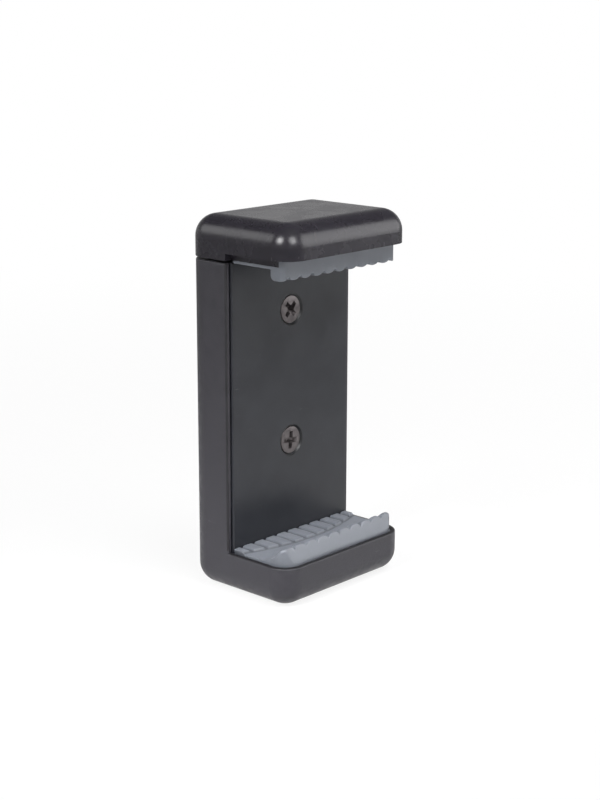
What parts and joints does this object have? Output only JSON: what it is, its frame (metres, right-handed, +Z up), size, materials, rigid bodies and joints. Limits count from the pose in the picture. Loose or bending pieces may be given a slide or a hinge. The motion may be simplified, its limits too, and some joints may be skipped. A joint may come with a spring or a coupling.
{
  "type": "tripod phone mount adapter",
  "caption": "Spring-loaded clamp for a phone: a fixed lower jaw on a hollow spine, a sliding upper jaw, grey rubber pads and a tripod thread underneath.",
  "frame": {"origin": "mouth of the tripod thread, in the middle of the underside", "axes": "+Z up from the fixed lower jaw to the sliding upper jaw; -Y towards the phone; +X to the right seen from the phone"},
  "size_m": [0.0392, 0.0295, 0.082],
  "materials": {
    "body_plastic": "fine moulded grain, dark charcoal",
    "plate_plastic": "smooth satin, dark charcoal",
    "cap_plastic": "satin, dark charcoal",
    "pad_rubber": "bluish grey soft rubber",
    "screw_steel": "dark oxide",
    "insert_brass": "turned",
    "spring_steel": "drawn wire"
  },
  "bodies": {
    "body": {"rear_body": "body_plastic", "front_plate": "plate_plastic", "lower_pad": "pad_rubber", "front_screw_upper": "screw_steel", "front_screw_lower": "screw_steel", "tripod_insert": "insert_brass", "spring_left": "spring_steel", "spring_right": "spring_steel"},
    "jaw": {"upper_jaw": "cap_plastic", "upper_pad": "pad_rubber"}
  },
  "joints": [
    {"name": "jaw_slide", "type": "slide", "parent": "body", "child": "jaw", "axis": [0, 0, 1], "range_m": [0, 0.029], "stiffness_N_per_m": 200, "springref_m": -0.015, "deforming": ["spring_left", "spring_right"]}
  ]
}
